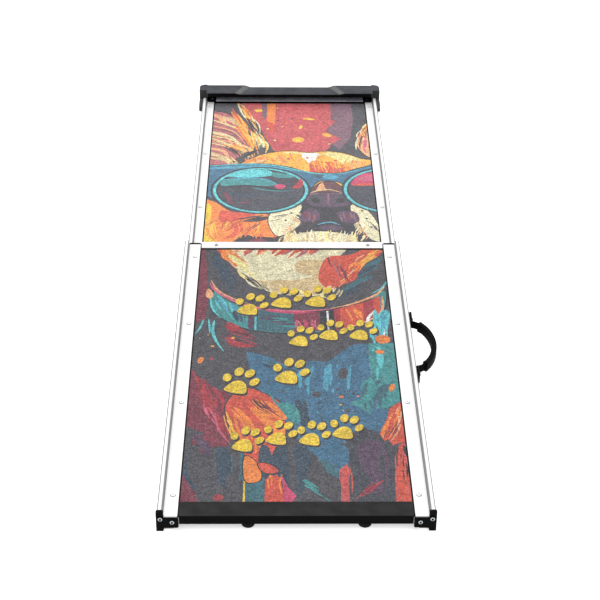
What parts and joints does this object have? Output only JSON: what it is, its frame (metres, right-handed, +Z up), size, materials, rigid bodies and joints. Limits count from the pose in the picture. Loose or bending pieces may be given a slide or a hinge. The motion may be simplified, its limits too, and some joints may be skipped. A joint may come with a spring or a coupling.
{
  "type": "dog ramp",
  "caption": "Low telescoping pet ramp: gritty printed decks between raised aluminium side rails, the upper section sliding under the lower one, with a side carry handle and a moulded end cap.",
  "frame": {"origin": "centre of the bounding box's footprint, on the ground", "axes": "+Y up the ramp from the low end to the capped end, +X towards the handle side, +Z up"},
  "size_m": [0.478, 1.5975, 0.041],
  "materials": {
    "aluminium": "bright satin anodised extrusion",
    "screw_steel": "zinc plated",
    "black_plastic": "fine textured moulding",
    "black_rubber": "matt",
    "webbing": "woven polypropylene webbing",
    "deck_board": "black film-faced board",
    "printed_grip": "gritty non-slip sheet with a colour print"
  },
  "bodies": {
    "lower_section": {"bracket_screw_left_inner": "screw_steel", "bracket_screw_left_outer": "screw_steel", "bracket_screw_right_inner": "screw_steel", "bracket_screw_right_outer": "screw_steel", "corner_bracket_left": "black_plastic", "corner_bracket_right": "black_plastic", "crossbar_screw_left": "screw_steel", "crossbar_screw_right": "screw_steel", "deck_crossbar": "aluminium", "handle_grip": "black_rubber", "handle_plate_far": "black_plastic", "handle_plate_near": "black_plastic", "handle_screw_far": "screw_steel", "handle_screw_near": "screw_steel", "handle_strap": "webbing", "lower_deck_panel": "deck_board", "lower_end_bar": "black_plastic", "lower_grip_sheet": "printed_grip", "lower_rail_left": "aluminium", "lower_rail_right": "aluminium", "lower_rivet_left_1": "aluminium", "lower_rivet_left_2": "aluminium", "lower_rivet_left_3": "aluminium", "lower_rivet_left_4": "aluminium", "lower_rivet_right_1": "aluminium", "lower_rivet_right_2": "aluminium", "lower_rivet_right_3": "aluminium", "lower_rivet_right_4": "aluminium", "rail_end_plug_left": "black_plastic", "rail_end_plug_right": "black_plastic", "rail_guide_left": "black_plastic", "rail_guide_right": "black_plastic", "round_foot_left": "black_rubber", "round_foot_right": "black_rubber"},
    "upper_section": {"cap_pad_left": "black_rubber", "cap_pad_right": "black_rubber", "end_clip_left": "black_plastic", "end_clip_right": "black_plastic", "end_clip_screw_left": "screw_steel", "end_clip_screw_right": "screw_steel", "slide_stop_left": "black_plastic", "slide_stop_right": "black_plastic", "top_cap": "black_plastic", "upper_deck_panel": "deck_board", "upper_end_bar": "black_plastic", "upper_grip_sheet": "printed_grip", "upper_rail_left": "aluminium", "upper_rail_right": "aluminium", "upper_rivet_left_1": "aluminium", "upper_rivet_left_2": "aluminium", "upper_rivet_left_3": "aluminium", "upper_rivet_left_4": "aluminium", "upper_rivet_right_1": "aluminium", "upper_rivet_right_2": "aluminium", "upper_rivet_right_3": "aluminium", "upper_rivet_right_4": "aluminium", "upper_tail_bar": "black_plastic"}
  },
  "joints": [
    {"name": "telescope", "type": "slide", "parent": "lower_section", "child": "upper_section", "axis": [0, -1, 0], "range_m": [0, 0.675]}
  ]
}
